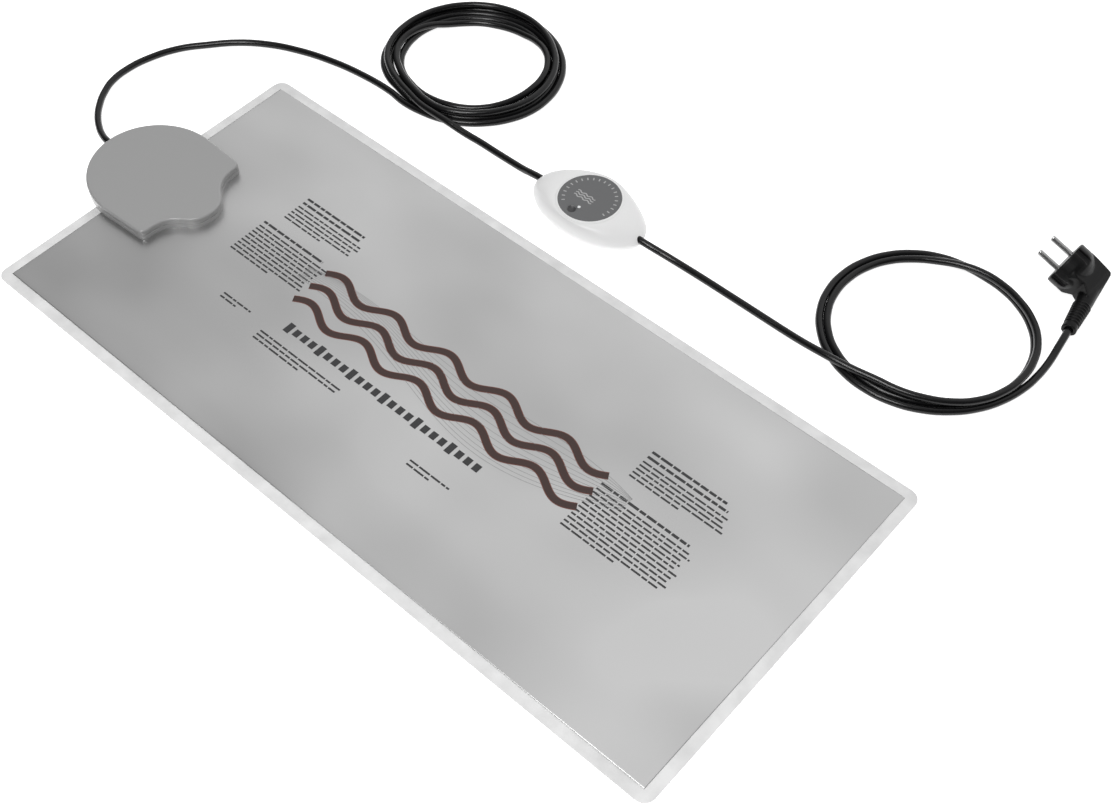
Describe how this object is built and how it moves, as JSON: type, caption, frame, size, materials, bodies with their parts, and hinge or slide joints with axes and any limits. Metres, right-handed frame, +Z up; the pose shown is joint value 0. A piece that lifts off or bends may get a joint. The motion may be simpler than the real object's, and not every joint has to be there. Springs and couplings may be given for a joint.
{
  "type": "water bed heater",
  "caption": "Flat foil heating pad with a shell-shaped connection housing, a coiled cord, an egg-shaped dial control and an angled mains plug.",
  "frame": {"origin": "middle of the pad's underside, on the surface that it lies on", "axes": "+X along the pad's long side, away from the housing, +Y across the pad towards the cord, +Z up"},
  "size_m": [0.7815, 0.5559, 0.0371],
  "materials": {
    "frosted_film": "frosted clear film",
    "silver_foil": "satin metallised foil with a fine mottled grain",
    "grey_plastic": "smooth satin",
    "black_cord": "smooth glossy jacket",
    "white_plastic": "glossy white",
    "dial_plastic": "satin dark grey with light scale marks",
    "lens_plastic": "clear light window",
    "black_plug": "moulded, fine satin grain",
    "nickel": "nickel-plated pins"
  },
  "bodies": {
    "heater": {"carrier_film": "frosted_film", "heating_panel": "silver_foil", "housing_base": "grey_plastic", "housing_cover": "grey_plastic", "housing_lead": "black_cord", "heater_cord_coil": "black_cord", "control_lead": "black_cord", "control_body": "white_plastic", "mains_lead": "black_cord", "mains_cord_loop": "black_cord", "plug_lead": "black_cord", "plug_body": "black_plug", "plug_pin_lower": "nickel", "plug_pin_upper": "nickel"},
    "dial": {"control_dial": "dial_plastic", "indicator_lens": "lens_plastic"}
  },
  "joints": [
    {"name": "dial_turn", "type": "hinge", "parent": "heater", "child": "dial", "pos_m": [-0.0205, 0.2021, 0.0193], "axis": [0, 0, 1], "range_deg": [-135, 135]}
  ]
}
